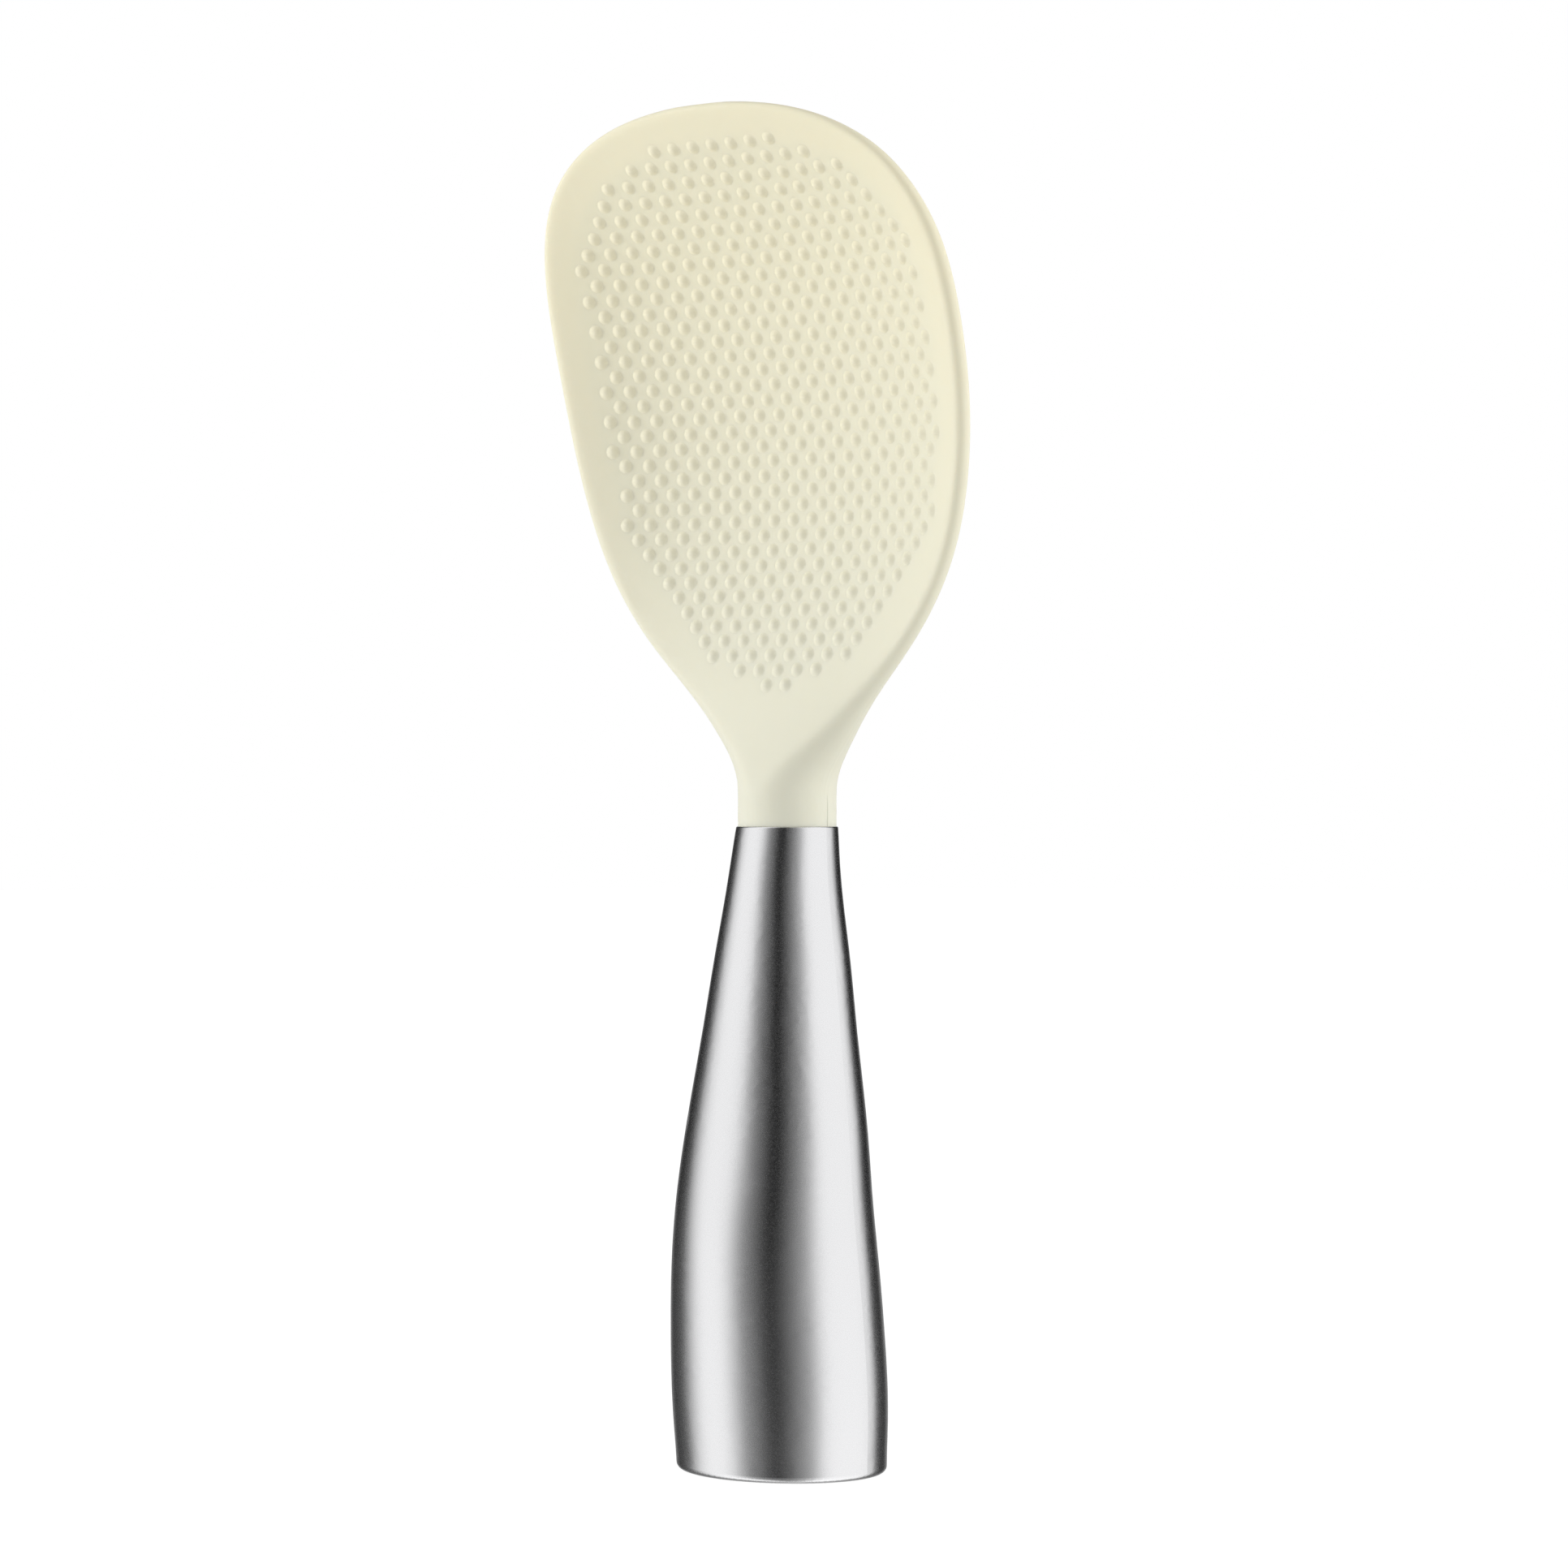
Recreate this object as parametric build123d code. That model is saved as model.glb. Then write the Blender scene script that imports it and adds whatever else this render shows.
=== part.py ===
from build123d import *
import os
from math import pi
import numpy as np

# Rice paddle that stands on the flat base of its handle.
# The silicone head is moulded over a stiff core. The core's tang goes down into a plug, and the plug is
# wedged in the narrow top of a hollow steel handle, which a welded plate closes at the base.
# Frame: origin at the centre of the flat base, +Z up along the handle, -Y towards the dished front.

# Overall sizes, in millimetres
handle_height = 102.7
head_length = 113.2
blade_width = 84.2
tip_reach = 21.2          # how far the tip leans forward of the neck's axis
neck_diameter = 15.8
neck_length = 5.0         # straight part of the neck, above the handle

# Silicone head
blade_thickness = 3.3
rim_thickness = 3.0
lip_width = 1.9           # flat land just inside the rim
tip_flat = 4.0            # half width of the flat at the middle of the tip
bowl_share = 0.65         # of the dish's depth, with the rest close to the lips

# Stiff core inside the head
blade_cover = 0.85        # silicone over each face of the core in the blade
neck_cover = 2.4          # silicone around the core in the neck
edge_cover = 5.0          # soft rim outside the core's edge
core_flat = 10.0          # half width of the flat at the middle of the core's tip
tang_width = 9.0
tang_depth = 6.0
tang_corner = 1.5
tang_length = 28.0
lock_hole = 3.0           # the plug's glue keys into this hole

# Hollow handle
grip_width = 36.6
grip_depth = 31.5
neck_back = 1.4           # the neck's axis lies this far behind the centre of the base
collar_step = 0.25        # the steel stands proud of the silicone neck by this much
wall = 0.8
base_round = 1.1
top_round = 0.25

# Plate that closes the base, and plug that holds the tang
rim_land = 3.2            # turned-in steel around the plate
plate_thickness = 1.2
plug_height = 24.0
glue_gap = 0.05
tang_gap = 0.1

# Half of the blade's outline, from the neck to the tip: shares of its half width and of its length
outline_shares = [(0.268, 0.106), (0.441, 0.181), (0.653, 0.262), (0.844, 0.368), (0.950, 0.489),
                  (1.000, 0.681), (0.940, 0.838), (0.815, 0.909), (0.622, 0.958), (0.315, 0.9915)]

# Side view of the head, by share of its length. The two lines are shares of the tip's reach, backwards.
height_shares = [0.00, 0.05, 0.09, 0.13, 0.18, 0.23, 0.29, 0.37, 0.46, 0.53, 0.62, 0.71, 0.80, 0.88, 0.95, 1.00]
centre_shares = [0.00, 0.00, 0.01, 0.032, 0.052, 0.071, 0.096, 0.140, 0.158, 0.134, 0.047, -0.090, -0.281,
                 -0.533, -0.800, -1.00]
rim_shares = [0.00, 0.00, 0.00, -0.012, -0.032, -0.058, -0.089, -0.128, -0.184, -0.239, -0.330, -0.450, -0.594,
              -0.748, -0.890, -1.00]

# How far each height still has the round neck's thickness, at the middle and at the rim
middle_neck_shares = [1.00, 0.99, 0.80, 0.61, 0.45, 0.32, 0.20, 0.095, 0.032, 0.014, 0, 0, 0, 0, 0, 0]
rim_neck_shares = [1.00, 0.96, 0.68, 0.36, 0.15, 0.06, 0.02, 0, 0, 0, 0, 0, 0, 0, 0, 0]

# The handle's height, width, depth and backward bow: shares of its height, of the grip's width and depth,
# and of the step from the base's centre back to the neck's axis
handle_shares = [(0.00, 0.973, 0.975, 0.00), (0.06, 0.988, 0.989, -0.17), (0.14, 1.000, 1.000, -0.43),
                 (0.21, 0.989, 0.994, -0.71), (0.31, 0.957, 0.976, -1.10), (0.42, 0.897, 0.935, -1.27),
                 (0.52, 0.832, 0.880, -0.93), (0.68, 0.694, 0.761, -0.32), (0.80, 0.597, 0.673, 0.13),
                 (0.90, 0.508, 0.590, 0.46), (0.96, 0.469, 0.545, 0.74)]

outline_count = 280       # points that the outline is measured with
outline_detail = 20       # finer points between two of those, to measure how near the edge is
ring_count = 42           # sections of the head
ring_crowding = 1.3       # how much closer together they lie at the neck, where 1 is evenly
fine_count = 241          # points that a section is measured with
quarter_count = 14        # points in a quarter of a section's curve

half_width = blade_width / 2
neck_radius = neck_diameter / 2


def curve(values):
    """A smooth curve of height through one value for each height share, never above the largest."""
    limit = max(values)
    heights = np.array(height_shares) * head_length
    steps = np.diff(heights)
    slopes = np.diff(values) / steps
    system = np.eye(len(heights))
    bends = np.zeros(len(heights))
    for i in range(1, len(steps)):
        system[i, i - 1:i + 2] = steps[i - 1], 2 * (steps[i - 1] + steps[i]), steps[i]
        bends[i] = 3 * (slopes[i] - slopes[i - 1])
    bends = np.linalg.solve(system, bends)

    def at(height):
        i = int(np.clip(np.searchsorted(heights, height) - 1, 0, len(steps) - 1))
        run = height - heights[i]
        first = slopes[i] - steps[i] * (2 * bends[i] + bends[i + 1]) / 3
        third = (bends[i + 1] - bends[i]) / (3 * steps[i])
        return min(values[i] + run * (first + run * (bends[i] + run * third)), limit)

    return at


centre_line = curve(np.array(centre_shares) * tip_reach)
rim_line = curve(np.array(rim_shares) * tip_reach)
middle_neck = curve(np.array(middle_neck_shares))
rim_neck = curve(np.array(rim_neck_shares))


def outline(inset):
    """Points of the head's half outline in plan, drawn inwards, from the neck to the tip."""
    neck = Line((neck_radius, 0), (neck_radius, neck_length))
    points = [(neck_radius, neck_length)]
    points += [(half_width * x, head_length * z) for x, z in outline_shares]
    points += [(0, head_length)]
    whole = Wire([neck, Spline(*points, tangents=[(0, 1), (-1, 0)], tangent_scalars=[1, 1])])
    edge = []
    for place in np.linspace(0, 1, outline_count):
        at, along = whole @ place, whole % place
        edge.append((at.X - inset(at.Y) * along.Y, at.Y + inset(at.Y) * along.X))
    return np.array(edge)


def nothing(height):
    return 0


skin_edge = outline(nothing)


def section(edge, width, height, cover):
    """Closed section of the head at one height, from the right rim round the front and the back."""
    across = width * np.cos(np.linspace(0, pi, fine_count))
    share = np.abs(across) / np.interp(height, skin_edge[:, 1], skin_edge[:, 0])
    share = share * (1 + lip_width / half_width)
    level = 1 - share
    soft = lip_width / blade_width
    share = 1 - (level + np.sqrt(level ** 2 + soft ** 2)) / 2
    dish = bowl_share * share ** 2 + (1 - bowl_share) * share ** 4
    middle = blade_thickness + (neck_diameter - blade_thickness) * middle_neck(height)
    rim = rim_thickness + (neck_diameter - rim_thickness) * rim_neck(height)
    depth = centre_line(height) + (rim_line(height) - centre_line(height)) * dish
    half = (middle + (rim - middle) * dish) / 2 - cover(height)
    gap = np.hypot(edge[:, 0] - np.abs(across)[:, None], edge[:, 1] - height).min(axis=1)
    inside = np.clip(1 - gap / (rim / 2 - cover(height)), 0, 1)
    half = half * np.sqrt(1 - inside ** 2)
    half[[0, -1]] = 0
    x = np.concatenate([across, across[-2::-1]])
    y = np.concatenate([depth - half, (depth + half)[-2::-1]]) + neck_back
    run = np.concatenate([[0], np.cumsum(np.hypot(np.diff(x), np.diff(y)))])
    run = run / run[-1]
    quarter = (np.arange(quarter_count) / quarter_count) ** 2 / 4
    half_turn = np.concatenate([quarter, [1 / 4], 1 / 2 - quarter[:0:-1]])
    turn = np.concatenate([half_turn, half_turn + 1 / 2])
    points = [(np.interp(t, run, x), np.interp(t, run, y), handle_height + height) for t in turn]
    return Wire([Edge.make_spline(points, periodic=True, parameters=[*turn, 1.0])])


def head_body(inset, cover, tip_flat):
    """A closed solid of the head's shape, drawn inwards at its edge and under its faces, up to a small flat."""
    edge = outline(inset)
    finer = np.arange(0, len(edge) - 1, 1 / outline_detail)
    fine_edge = np.stack([np.interp(finer, range(len(edge)), edge[:, i]) for i in range(2)], axis=1)
    last = max(i for i, (x, z) in enumerate(edge) if x > tip_flat and z > head_length / 2)
    stops = (np.linspace(0, 1, ring_count) ** ring_crowding * last).astype(int)
    return Solid.make_loft([section(fine_edge, *edge[i], cover) for i in stops])


def face_cover(height):
    return blade_cover + (neck_cover - blade_cover) * middle_neck(height)


def side_cover(height):
    return edge_cover + (neck_cover - edge_cover) * middle_neck(height)


def handle_body(inset, low):
    """The handle's flared oval body, inside its outer skin by the inset."""
    rings = []
    for height, width, depth, bow in handle_shares:
        plane = Plane((0, neck_back * bow, low + (handle_height - low) * height))
        rings.append(plane * Ellipse(grip_width * width / 2 - inset, grip_depth * depth / 2 - inset))
    collar = neck_radius + collar_step - inset
    rings.append(Plane((0, neck_back, handle_height)) * Circle(collar))
    return loft(rings)


def base_oval(inset):
    _, width, depth, _ = handle_shares[0]
    return Ellipse(grip_width * width / 2 - inset, grip_depth * depth / 2 - inset)


def make_handle_shell():
    body = handle_body(0, 0)
    body = fillet(body.edges().sort_by(Axis.Z)[0], base_round)
    body = fillet(body.edges().sort_by(Axis.Z)[-1], top_round)
    body -= handle_body(wall, wall)
    return body - extrude(base_oval(rim_land), 2 * wall)


def make_base_plate():
    return extrude(base_oval(rim_land), plate_thickness)


def tang(gap):
    outline_2d = RectangleRounded(tang_width + 2 * gap, tang_depth + 2 * gap, tang_corner)
    start = Plane((0, neck_back, handle_height + neck_length))
    return extrude(start * outline_2d, -tang_length - neck_length)


def make_head_core():
    core = head_body(side_cover, face_cover, core_flat) + tang(0)
    place = Plane((0, neck_back, handle_height - tang_length + lock_hole), z_dir=(0, 1, 0))
    return core - place * Cylinder(lock_hole / 2, neck_diameter)


def make_head_skin():
    return head_body(nothing, nothing, tip_flat) - make_head_core()


def make_neck_plug():
    body = handle_body(wall + glue_gap, 0)
    keep = Plane((0, neck_back, handle_height - plug_height / 2)) * Box(grip_width, grip_depth, plug_height)
    return (body & keep) - tang(tang_gap)


parts = {
    "head_skin": make_head_skin(),
    "head_core": make_head_core(),
    "neck_plug": make_neck_plug(),
    "handle_shell": make_handle_shell(),
    "base_plate": make_base_plate(),
}
os.makedirs("parts", exist_ok=True)
for name, shape in parts.items():
    export_step(shape, f"parts/{name}.step")
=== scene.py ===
import math

import bmesh
import bpy
from mathutils import Matrix, Vector
from mathutils.bvhtree import BVHTree


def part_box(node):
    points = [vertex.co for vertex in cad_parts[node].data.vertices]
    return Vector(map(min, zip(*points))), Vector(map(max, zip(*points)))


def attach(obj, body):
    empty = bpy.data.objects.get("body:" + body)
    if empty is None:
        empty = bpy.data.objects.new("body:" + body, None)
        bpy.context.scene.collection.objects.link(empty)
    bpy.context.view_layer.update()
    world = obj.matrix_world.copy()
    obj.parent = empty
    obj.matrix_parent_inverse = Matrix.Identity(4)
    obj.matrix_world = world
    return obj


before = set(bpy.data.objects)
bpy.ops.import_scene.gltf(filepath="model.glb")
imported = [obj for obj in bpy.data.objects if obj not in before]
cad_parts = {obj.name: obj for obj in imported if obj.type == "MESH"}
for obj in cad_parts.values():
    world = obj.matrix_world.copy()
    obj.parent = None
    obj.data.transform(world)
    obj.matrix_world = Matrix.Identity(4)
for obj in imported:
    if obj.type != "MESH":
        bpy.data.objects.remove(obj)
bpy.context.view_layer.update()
mm = 0.001


# Silicone head: the dished blade and the round neck in one moulding, pressed from silicone rubber over a
# stiff core. The mould is sand-blasted, so the skin is matte, and light wanders a little inside it. The thick
# neck looks paler and greener than the thin blade.
def linear(hex_colour):
    """An sRGB hex colour as linear red, green, blue and alpha."""
    channels = [int(hex_colour[i:i + 2], 16) / 255 for i in (0, 2, 4)]
    return [c / 12.92 if c <= 0.04045 else ((c + 0.055) / 1.055) ** 2.4 for c in channels] + [1]


def add_node(tree, kind, links=None, **settings):
    """Adds a node. Settings are its own, and links fill its sockets with a value or with another's output."""
    node = tree.nodes.new(kind)
    for name, value in settings.items():
        setattr(node, name, value)
    for socket, value in (links or {}).items():
        if isinstance(value, bpy.types.NodeSocket):
            tree.links.new(value, node.inputs[socket])
        else:
            node.inputs[socket].default_value = value
    return node


def new_finish(name):
    """An empty material and its node tree."""
    material = bpy.data.materials.new(name)
    material.use_nodes = True
    material.node_tree.nodes.clear()
    return material, material.node_tree


def coat(piece, material):
    piece.data.materials.clear()
    piece.data.materials.append(material)


def new_piece(name, mesh, smooth):
    """Makes an object of a bmesh, links it and frees the bmesh."""
    for face in mesh.faces:
        face.smooth = smooth
    piece = bpy.data.objects.new(name, bpy.data.meshes.new(name))
    mesh.to_mesh(piece.data)
    mesh.free()
    bpy.context.scene.collection.objects.link(piece)
    return piece


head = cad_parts["head_skin"]
head_low, head_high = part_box("head_skin")
head_length = head_high.z - head_low.z

silicone_tip = "f2ecd0"        # thin blade, warm cream
silicone_neck = "eae9d7"       # thick neck
full_cream = 0.8               # the share of the head's length where the neck's tone has gone
blast_grain = 0.35 * mm        # the blasted mould's grit, drawn coarse enough to show
wander = 1.2 * mm              # how far red light travels in the rubber


def silicone_finish(name, scatter):
    """Matte silicone. Scatter is the share of its light that wanders inside, none in the small bumps."""
    material, tree = new_finish(name)
    place = add_node(tree, "ShaderNodeTexCoord").outputs["Object"]
    height = add_node(tree, "ShaderNodeSeparateXYZ", {"Vector": place}).outputs["Z"]
    up_the_head = add_node(tree, "ShaderNodeMapRange", {
        "Value": height, "From Min": head_low.z, "From Max": head_low.z + full_cream * head_length})
    tone = add_node(tree, "ShaderNodeMix", {
        "Factor": up_the_head.outputs["Result"], 6: linear(silicone_neck), 7: linear(silicone_tip),
    }, data_type="RGBA")
    grain = add_node(tree, "ShaderNodeTexNoise", {"Vector": place, "Scale": 1 / blast_grain, "Detail": 3.0})
    relief = add_node(tree, "ShaderNodeBump", {
        "Height": grain.outputs["Fac"], "Strength": 0.15, "Distance": 0.02 * mm})
    surface = add_node(tree, "ShaderNodeBsdfPrincipled", {
        "Base Color": tone.outputs[2], "Normal": relief.outputs["Normal"], "Roughness": 0.58, "IOR": 1.41,
        "Subsurface Weight": scatter, "Subsurface Radius": (1.0, 0.9, 0.75), "Subsurface Scale": wander})
    add_node(tree, "ShaderNodeOutputMaterial", {"Surface": surface.outputs["BSDF"]})
    return material


coat(head, silicone_finish("moulded_silicone_rubber", scatter=0.35))

# Mould lines: where the two halves of the mould meet at the sides of the neck, a low ridge of silicone is
# left above the handle. It fades out where the neck starts to widen. Same rubber as the head.
line_height = 6.2 * mm
line_width = 0.42 * mm
line_rise = 0.15 * mm
line_root = 0.12 * mm          # how deep its edges lie under the skin
line_turn = math.radians(5)    # behind the neck's side
line_columns, line_rows = 4, 14
neck_back = 1.4 * mm           # the neck's axis lies this far behind the base's centre

plug_low, plug_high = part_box("neck_plug")
neck_centre = Vector(((plug_low.x + plug_high.x) / 2, neck_back, 0))
skin = BVHTree.FromObject(head, bpy.context.evaluated_depsgraph_get())
ridges = bmesh.new()
for side in (-1, 1):
    unit_grid = bmesh.ops.create_grid(ridges, x_segments=line_columns, y_segments=line_rows, size=0.5)
    outward = Vector((side * math.cos(line_turn), math.sin(line_turn), 0))
    across = Vector((-outward.y, outward.x, 0)) * side
    for vert in unit_grid["verts"]:
        level = vert.co.y + 0.5
        z = head_low.z + level * line_height
        aim = neck_centre + outward * head_length + across * vert.co.x * line_width + Vector((0, 0, z))
        hit = skin.ray_cast(aim, -outward)[0]
        crown = math.cos(math.pi * vert.co.x) * math.sqrt(1 - level ** 2)
        vert.co = hit + outward * ((line_rise + line_root) * crown - line_root)
bmesh.ops.recalc_face_normals(ridges, faces=ridges.faces)
for edge in ridges.edges:      # sharp where the underside joins, so that it doesn't bend the ridge's shading
    edge.smooth = not edge.is_boundary
bmesh.ops.solidify(ridges, geom=ridges.faces[:], thickness=line_root / 2)
bmesh.ops.recalc_face_normals(ridges, faces=ridges.faces)
mould_lines = new_piece("neck_mould_lines", ridges, True)
silicone_bumps = silicone_finish("moulded_silicone_bumps", scatter=0.0)
coat(mould_lines, silicone_bumps)
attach(mould_lines, "root")

# Raised dots: small soft bumps all over the dish, moulded with the head, that keep rice from sticking.
# They stand in staggered rows, with fewer dots near the tip and near the neck.
dots_in_rows = [7, 10, 13, 14, 15, 16] + 7 * [17, 18] + 3 * [17, 16] + [15, 14, 13, 12, 11, 10, 9, 8, 5, 2]
first_row = 6.05 * mm          # below the tip
row_step = 2.414 * mm
dot_pitch = 4.0 * mm
# A dot: radius and height of its rings in millimetres, from a point under the skin up to its rounded top
dot_rings = [(0, -0.08), (1.36, -0.04), (1.12, 0.04), (0.92, 0.17), (0.67, 0.39), (0.36, 0.56), (0, 0.62)]
inside_foot = (dot_rings[1][0] + dot_rings[2][0]) / 2 * mm
dot_sides = 10
weld_gap = 0.01 * mm

template = bmesh.new()
verts = [template.verts.new((radius * mm, 0, height * mm)) for radius, height in dot_rings]
edges = [template.edges.new(pair) for pair in zip(verts, verts[1:])]
bmesh.ops.spin(template, geom=verts + edges, cent=(0, 0, 0), axis=(0, 0, 1), angle=2 * math.pi,
               steps=dot_sides, use_merge=True)
bmesh.ops.remove_doubles(template, verts=template.verts, dist=weld_gap)
bmesh.ops.recalc_face_normals(template, faces=template.faces)
for edge in template.edges:    # sharp round the foot, so that the underside doesn't bend the dome's shading
    edge.smooth = min(vert.co.xy.length for vert in edge.verts) < inside_foot
one_dot = bpy.data.meshes.new("one_dot")
template.to_mesh(one_dot)
template.free()

bumps = bmesh.new()
for row, count in enumerate(dots_in_rows):
    z = head_high.z - first_row - row * row_step
    for i in range(count):
        x = (i - (count - 1) / 2) * dot_pitch
        hit, normal, _, _ = skin.ray_cast(Vector((x, head_low.y - head_length, z)), Vector((0, 1, 0)))
        turn = normal.to_track_quat("Z", "Y").to_matrix().to_4x4()
        before = len(bumps.verts)
        bumps.from_mesh(one_dot)
        bumps.verts.ensure_lookup_table()
        bmesh.ops.transform(bumps, matrix=Matrix.Translation(hit) @ turn, verts=bumps.verts[before:])
dots = new_piece("head_dots", bumps, True)
coat(dots, silicone_bumps)
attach(dots, "root")

# Core and plug: hidden inside. The core is nylon with glass fibre, which leaves a mottled, slightly rough
# skin. The plug is turned from a dark plastic rod, so fine rings run round it.
core_tone, core_mottle = "d8d3c0", "c9c3ae"
fibre_mottle = 1.8 * mm
nylon, tree = new_finish("glass_filled_nylon")
place = add_node(tree, "ShaderNodeTexCoord").outputs["Object"]
mottle = add_node(tree, "ShaderNodeTexNoise", {"Vector": place, "Scale": 1 / fibre_mottle, "Detail": 5.0})
tone = add_node(tree, "ShaderNodeMix", {
    "Factor": mottle.outputs["Fac"], 6: linear(core_tone), 7: linear(core_mottle)}, data_type="RGBA")
relief = add_node(tree, "ShaderNodeBump", {
    "Height": mottle.outputs["Fac"], "Strength": 0.3, "Distance": 0.05 * mm})
surface = add_node(tree, "ShaderNodeBsdfPrincipled", {
    "Base Color": tone.outputs[2], "Normal": relief.outputs["Normal"], "Roughness": 0.5, "IOR": 1.53})
add_node(tree, "ShaderNodeOutputMaterial", {"Surface": surface.outputs["BSDF"]})
coat(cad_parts["head_core"], nylon)

plug_colour = "414042"
tool_step = 0.4 * mm           # distance between the turned rings
wave_turn = 20                 # how far, in radians, a wave texture turns in one unit at a scale of 1
turned, tree = new_finish("turned_plastic")
place = add_node(tree, "ShaderNodeTexCoord").outputs["Object"]
rings = add_node(tree, "ShaderNodeTexWave", {
    "Vector": place, "Scale": 2 * math.pi / (wave_turn * tool_step), "Distortion": 0.3}, bands_direction="Z")
relief = add_node(tree, "ShaderNodeBump", {
    "Height": rings.outputs["Fac"], "Strength": 0.4, "Distance": 0.05 * mm})
surface = add_node(tree, "ShaderNodeBsdfPrincipled", {
    "Base Color": linear(plug_colour), "Normal": relief.outputs["Normal"], "Roughness": 0.45})
add_node(tree, "ShaderNodeOutputMaterial", {"Surface": surface.outputs["BSDF"]})
coat(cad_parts["neck_plug"], turned)

# Handle: a stainless steel tube drawn narrow at the neck and flared to an oval base, then satin brushed
# along its length. The strokes are too fine to see one by one and leave a soft, slightly grainy shine.
steel_colour = "cbcbcc"
stroke_width = 0.22 * mm
stroke_stretch = 0.06          # a stroke is this share as fine along the handle as across it
sparkle_grain = 0.30 * mm      # grit marks that catch the light
steel, tree = new_finish("brushed_stainless_steel")
place = add_node(tree, "ShaderNodeTexCoord").outputs["Object"]
along = add_node(tree, "ShaderNodeMapping", {"Vector": place, "Scale": (1, 1, stroke_stretch)})
strokes = add_node(tree, "ShaderNodeTexNoise", {
    "Vector": along.outputs["Vector"], "Scale": 1 / stroke_width, "Detail": 2.0})
grit = add_node(tree, "ShaderNodeTexNoise", {"Vector": place, "Scale": 1 / sparkle_grain, "Detail": 2.0})
both = add_node(tree, "ShaderNodeMath", {
    0: strokes.outputs["Fac"], 1: grit.outputs["Fac"]}, operation="ADD")
relief = add_node(tree, "ShaderNodeBump", {
    "Height": both.outputs["Value"], "Strength": 0.13, "Distance": 0.01 * mm})
shine = add_node(tree, "ShaderNodeMapRange", {
    "Value": grit.outputs["Fac"], "From Min": 0.3, "From Max": 0.7, "To Min": 0.22, "To Max": 0.28})
surface = add_node(tree, "ShaderNodeBsdfPrincipled", {
    "Base Color": linear(steel_colour), "Metallic": 1.0, "Roughness": shine.outputs["Result"],
    "Normal": relief.outputs["Normal"]})
add_node(tree, "ShaderNodeOutputMaterial", {"Surface": surface.outputs["BSDF"]})
coat(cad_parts["handle_shell"], steel)

# Base plate: stainless sheet, laser-cut and welded into the handle's foot. It is sanded flat in one
# direction after welding, so its strokes run across, and the weld's heat leaves its edge a little straw.
plate_colour, heat_colour = "c4c4c6", "b8ad98"
heat_width = 1.6 * mm
plate_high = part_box("base_plate")[1]
plate_steel, tree = new_finish("sanded_stainless_plate")
place = add_node(tree, "ShaderNodeTexCoord").outputs["Object"]
along = add_node(tree, "ShaderNodeMapping", {"Vector": place, "Scale": (stroke_stretch, 1, 1)})
strokes = add_node(tree, "ShaderNodeTexNoise", {
    "Vector": along.outputs["Vector"], "Scale": 1 / stroke_width, "Detail": 2.0})
relief = add_node(tree, "ShaderNodeBump", {
    "Height": strokes.outputs["Fac"], "Strength": 0.3, "Distance": 0.02 * mm})
oval = add_node(tree, "ShaderNodeMapping", {
    "Vector": place, "Scale": (1 / plate_high.x, 1 / plate_high.y, 0)})
outward_share = add_node(tree, "ShaderNodeVectorMath", {0: oval.outputs["Vector"]}, operation="LENGTH")
heat = add_node(tree, "ShaderNodeMapRange", {
    "Value": outward_share.outputs["Value"], "From Min": 1 - heat_width / plate_high.y, "From Max": 1.0,
}, interpolation_type="SMOOTHSTEP")
tone = add_node(tree, "ShaderNodeMix", {
    "Factor": heat.outputs["Result"], 6: linear(plate_colour), 7: linear(heat_colour)}, data_type="RGBA")
surface = add_node(tree, "ShaderNodeBsdfPrincipled", {
    "Base Color": tone.outputs[2], "Metallic": 1.0, "Roughness": 0.3, "Normal": relief.outputs["Normal"]})
add_node(tree, "ShaderNodeOutputMaterial", {"Surface": surface.outputs["BSDF"]})
coat(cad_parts["base_plate"], plate_steel)


# Floor: a plain pale table. The camera sees it white, with a soft shadow where the paddle stands. The steel
# doesn't mirror it, because the ring below the table's level stands for it.
def white_to_camera(tree, lit, seen):
    """Mixes two shaders, so that camera, glossy and transmission rays meet the second one."""
    rays = add_node(tree, "ShaderNodeLightPath")
    direct = add_node(tree, "ShaderNodeMath", {
        0: rays.outputs["Is Camera Ray"], 1: rays.outputs["Is Glossy Ray"]}, operation="ADD")
    straight = add_node(tree, "ShaderNodeMath", {
        0: direct.outputs["Value"], 1: rays.outputs["Is Transmission Ray"],
    }, operation="ADD", use_clamp=True)
    return add_node(tree, "ShaderNodeMixShader", {
        "Fac": straight.outputs["Value"], 1: lit.outputs[0], 2: seen.outputs[0]}).outputs["Shader"]


floor_radius = 4.0
floor_sides = 64
floor_colour, shadow_colour = "f4f4f4", "959595"
floor_glow = 0.84
floor_mesh = bmesh.new()
bmesh.ops.create_circle(floor_mesh, cap_ends=True, segments=floor_sides, radius=floor_radius)
floor = new_piece("floor", floor_mesh, False)
floor.visible_glossy = False
table, tree = new_finish("pale_table")
board = add_node(tree, "ShaderNodeBsdfDiffuse", {"Color": linear(floor_colour)})
shade = add_node(tree, "ShaderNodeBsdfDiffuse", {"Color": linear(shadow_colour)})
glow = add_node(tree, "ShaderNodeEmission", {"Strength": floor_glow})
pale = add_node(tree, "ShaderNodeAddShader", {0: shade.outputs[0], 1: glow.outputs[0]})
add_node(tree, "ShaderNodeOutputMaterial", {"Surface": white_to_camera(tree, board, pale)})
coat(floor, table)

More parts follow.
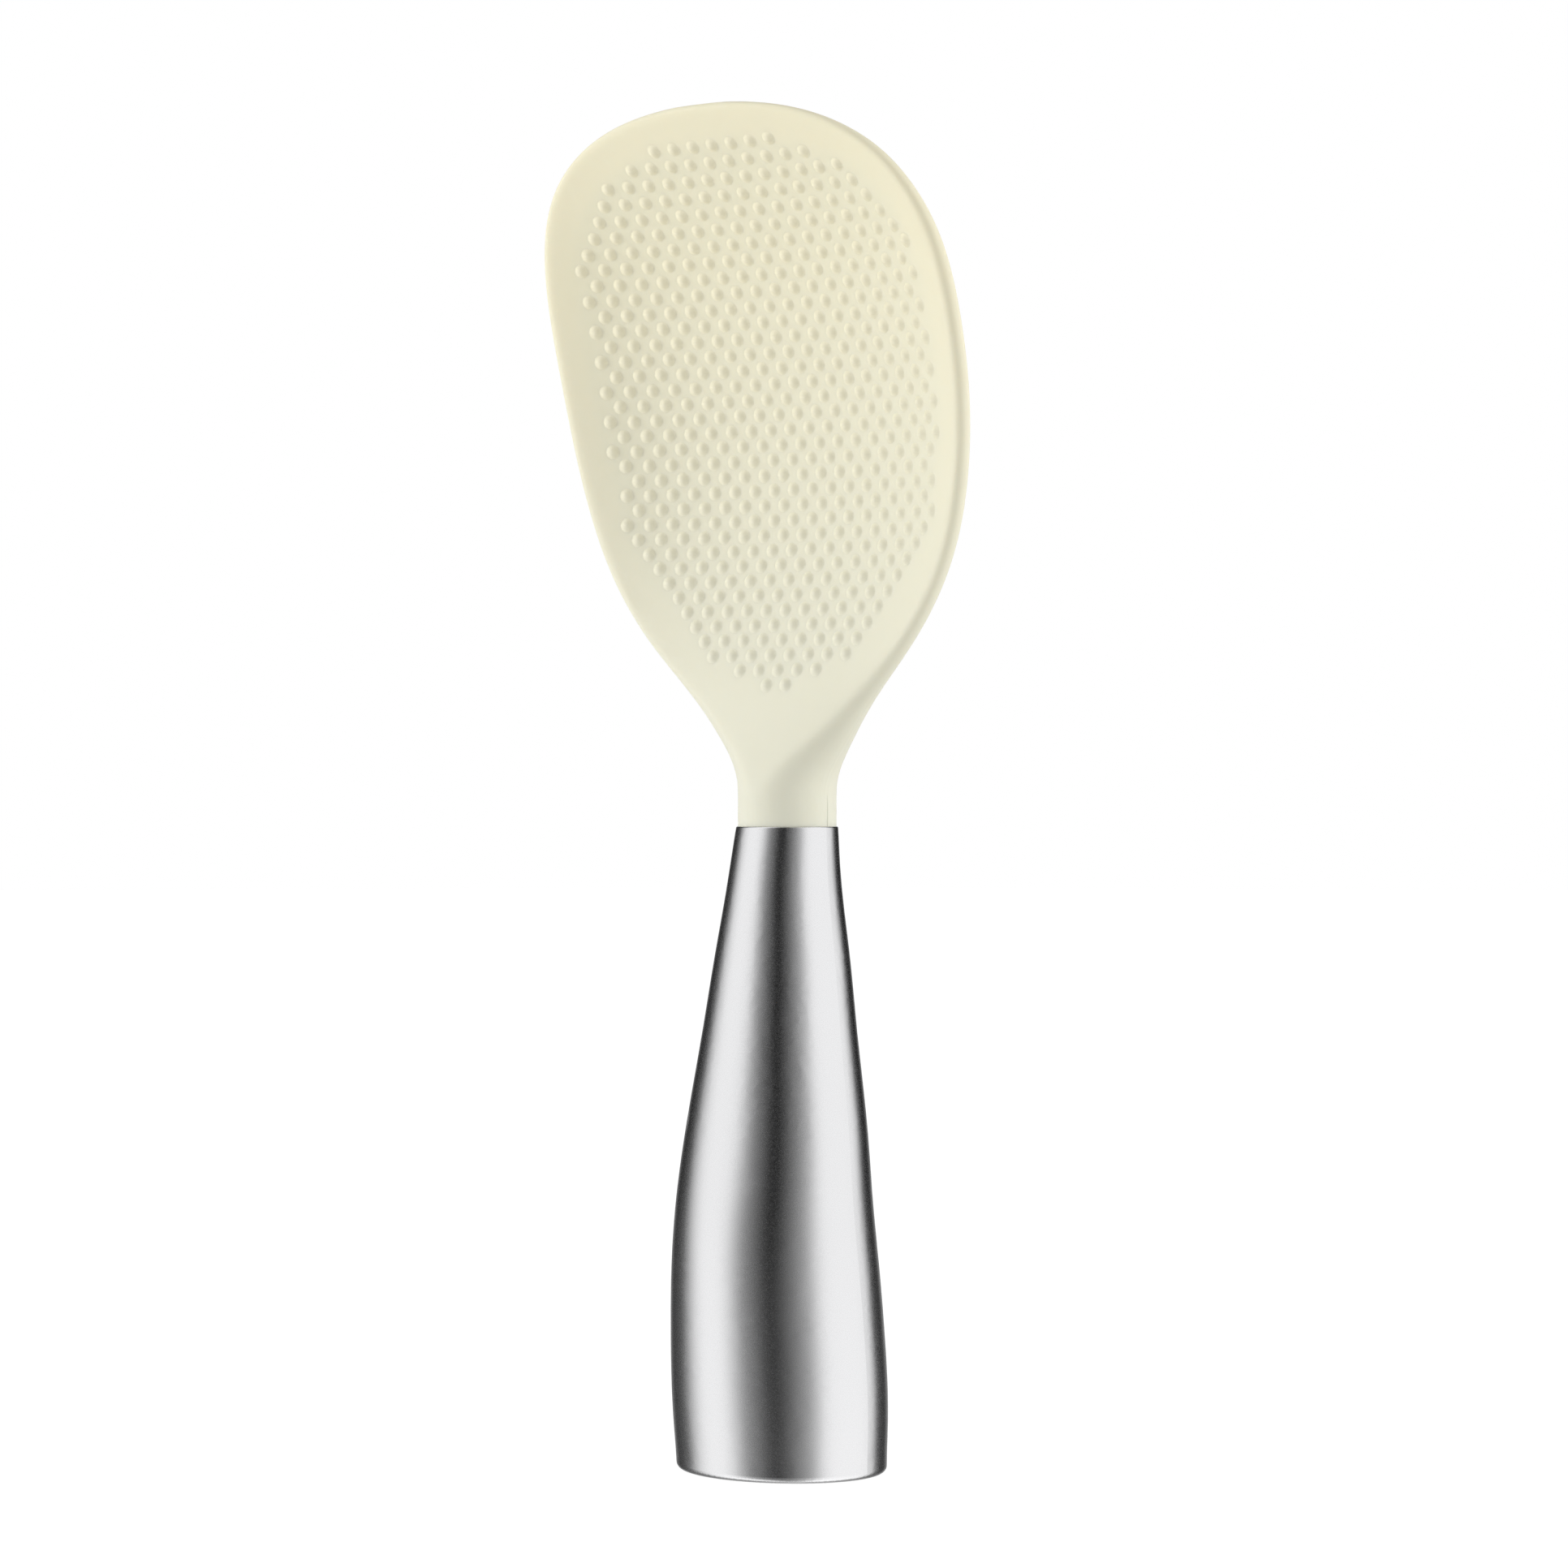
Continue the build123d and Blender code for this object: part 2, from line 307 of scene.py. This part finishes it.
# Room: an even white light from all round, as white walls give. The camera sees it as a white background.
ambient = 0.68
world = bpy.data.worlds.new("studio")
bpy.context.scene.world = world
world.use_nodes = True
tree = world.node_tree
tree.nodes.clear()
soft = add_node(tree, "ShaderNodeBackground", {"Color": (1, 1, 1, 1), "Strength": ambient})
white = add_node(tree, "ShaderNodeBackground", {"Color": (1, 1, 1, 1), "Strength": 1.0})
add_node(tree, "ShaderNodeOutputWorld", {"Surface": white_to_camera(tree, soft, white)})

# Camera: level with the middle of the paddle, on a long lens, and turned to the paddle's right. The spacing
# of the dots in the photograph gives its distance and its turn.
camera_azimuth = math.radians(40.65)
camera_distance = 745 * mm
eye_height = 110 * mm
frame_width = 250.9 * mm       # what the square picture takes in at the handle
off_centre = 0.52 * mm         # the picture's middle lies this far left of the axis and below the eye
sensor_width = 36

away = Vector((math.sin(camera_azimuth), -math.cos(camera_azimuth), 0))
right = Vector((math.cos(camera_azimuth), math.sin(camera_azimuth), 0))
camera = bpy.data.objects.new("camera", bpy.data.cameras.new("camera"))
bpy.context.scene.collection.objects.link(camera)
middle = Vector((0, neck_back, eye_height)) - right * off_centre
camera.location = middle + away * camera_distance
look = middle - Vector((0, 0, off_centre)) - camera.location
camera.rotation_euler = look.to_track_quat("-Z", "Y").to_euler()
camera.data.sensor_width = sensor_width
camera.data.lens = sensor_width * camera_distance / frame_width
bpy.context.scene.camera = camera

# What the steel mirrors: a tall white softbox on each side of the camera, a black card in front and one past
# each softbox, and a dim grey wall far behind. They stand as one ring that only reflections see, and its
# pattern leans near the table.
ring_radius = 550 * mm
ring_height = 8.0
ring_sides = 96
# Brightness by direction, in degrees round from the camera to its right
ring_stops = [
    (-180, 0.4), (-169, 0.3), (-158, 0),
    (-129, 0.06), (-121, 0.42), (-112, 0.95), (-103, 1.27), (-94, 1.42),
    (-68, 1.42), (-60, 1.36), (-53, 1.08), (-46, 0.68), (-40, 0.37), (-26, 0.15), (-19, 0.05), (-14, 0),
    (-7, 0), (3, 0.11), (13, 0.26), (24, 0.46), (32, 0.72), (39, 1.1), (45, 1.33), (52, 1.42),
    (104, 1.42), (115, 1.15), (123, 0.62), (130, 0),
    (158, 0), (169, 0.3), (180, 0.4)]
lean = math.radians(10)        # how far the pattern has turned where the lean is full
lean_from, lean_full = 140 * mm, -21 * mm
back_lean = -0.6               # share of the lean at the far left, where it turns the other way
back_lean_from, back_lean_full = math.radians(-65), math.radians(-105)
table_bounce = 0.04            # faint light off the table, which lifts the black cards' foot
bounce_from, bounce_full = 56 * mm, -42 * mm
table_white = 0.28             # the table itself, as the rounded foot mirrors it
white_from, white_full = -140 * mm, -700 * mm

ring_mesh = bmesh.new()
bmesh.ops.create_cone(
    ring_mesh, segments=ring_sides, radius1=ring_radius, radius2=ring_radius, depth=ring_height)
ring = new_piece("reflection_ring", ring_mesh, True)
ring.visible_camera = False
ring.visible_diffuse = False
ring.visible_shadow = False
boxes_and_cards, tree = new_finish("softboxes_and_black_cards")
place = add_node(tree, "ShaderNodeTexCoord").outputs["Object"]
facing = add_node(tree, "ShaderNodeMapping", {
    "Vector": place, "Rotation": (0, 0, math.pi / 2 - camera_azimuth)})
split = add_node(tree, "ShaderNodeSeparateXYZ", {"Vector": facing.outputs["Vector"]})
angle = add_node(tree, "ShaderNodeMath", {
    0: split.outputs["Y"], 1: split.outputs["X"]}, operation="ARCTAN2")
near_table = add_node(tree, "ShaderNodeMapRange", {
    "Value": split.outputs["Z"], "From Min": lean_from, "From Max": lean_full, "To Max": lean})
share_of_lean = add_node(tree, "ShaderNodeMapRange", {
    "Value": angle.outputs["Value"], "From Min": back_lean_full, "From Max": back_lean_from,
    "To Min": back_lean, "To Max": 1.0})
leaning = add_node(tree, "ShaderNodeMath", {
    0: near_table.outputs["Result"], 1: share_of_lean.outputs["Result"], 2: angle.outputs["Value"],
}, operation="MULTIPLY_ADD")
around = add_node(tree, "ShaderNodeMapRange", {
    "Value": leaning.outputs["Value"], "From Min": -math.pi, "From Max": math.pi})
ramp = add_node(tree, "ShaderNodeValToRGB", {"Fac": around.outputs["Result"]})
stops = ramp.color_ramp.elements
stops.remove(stops[1])
for i, (degrees, level) in enumerate(ring_stops):
    stop = stops.new((degrees + 180) / 360) if i else stops[0]
    stop.color = (level, level, level, 1)
bounce = add_node(tree, "ShaderNodeMapRange", {
    "Value": split.outputs["Z"], "From Min": bounce_from, "From Max": bounce_full, "To Max": table_bounce})
below = add_node(tree, "ShaderNodeMapRange", {
    "Value": split.outputs["Z"], "From Min": white_from, "From Max": white_full, "To Max": table_white})
low_light = add_node(tree, "ShaderNodeMath", {
    0: bounce.outputs["Result"], 1: below.outputs["Result"]}, operation="ADD")
boxes = add_node(tree, "ShaderNodeEmission", {"Color": ramp.outputs["Color"]})
foot = add_node(tree, "ShaderNodeEmission", {"Strength": low_light.outputs["Value"]})
shining = add_node(tree, "ShaderNodeAddShader", {0: boxes.outputs[0], 1: foot.outputs[0]})
add_node(tree, "ShaderNodeOutputMaterial", {"Surface": shining.outputs[0]})
coat(ring, boxes_and_cards)

# Lamps: the two softboxes' light on the silicone. The left one shines across the dish, so the dots stand
# out, and the right one lights the right rim and the back. Reflections see the ring in their place.
lamp_width = 400 * mm
lamp_height = 500 * mm
lamp_distance = 800 * mm
lamp_target = Vector((0, 0, 130 * mm))


def softbox(name, azimuth, elevation, power):
    """A rectangular lamp aimed at the middle of the paddle, from an azimuth that is 0 at the dish's front."""
    lamp = bpy.data.objects.new(name, bpy.data.lights.new(name, "AREA"))
    lamp.data.shape = "RECTANGLE"
    lamp.data.size = lamp_width
    lamp.data.size_y = lamp_height
    lamp.data.energy = power
    a, e = math.radians(azimuth), math.radians(elevation)
    towards = Vector((math.sin(a) * math.cos(e), -math.cos(a) * math.cos(e), math.sin(e)))
    lamp.location = lamp_target + towards * lamp_distance
    lamp.rotation_euler = (-towards).to_track_quat("-Z", "Y").to_euler()
    lamp.visible_glossy = False
    bpy.context.scene.collection.objects.link(lamp)


softbox("left_lamp", azimuth=-52, elevation=0, power=3.25)
softbox("right_lamp", azimuth=126, elevation=8, power=2.2)

bpy.context.scene.view_settings.view_transform = "Standard"
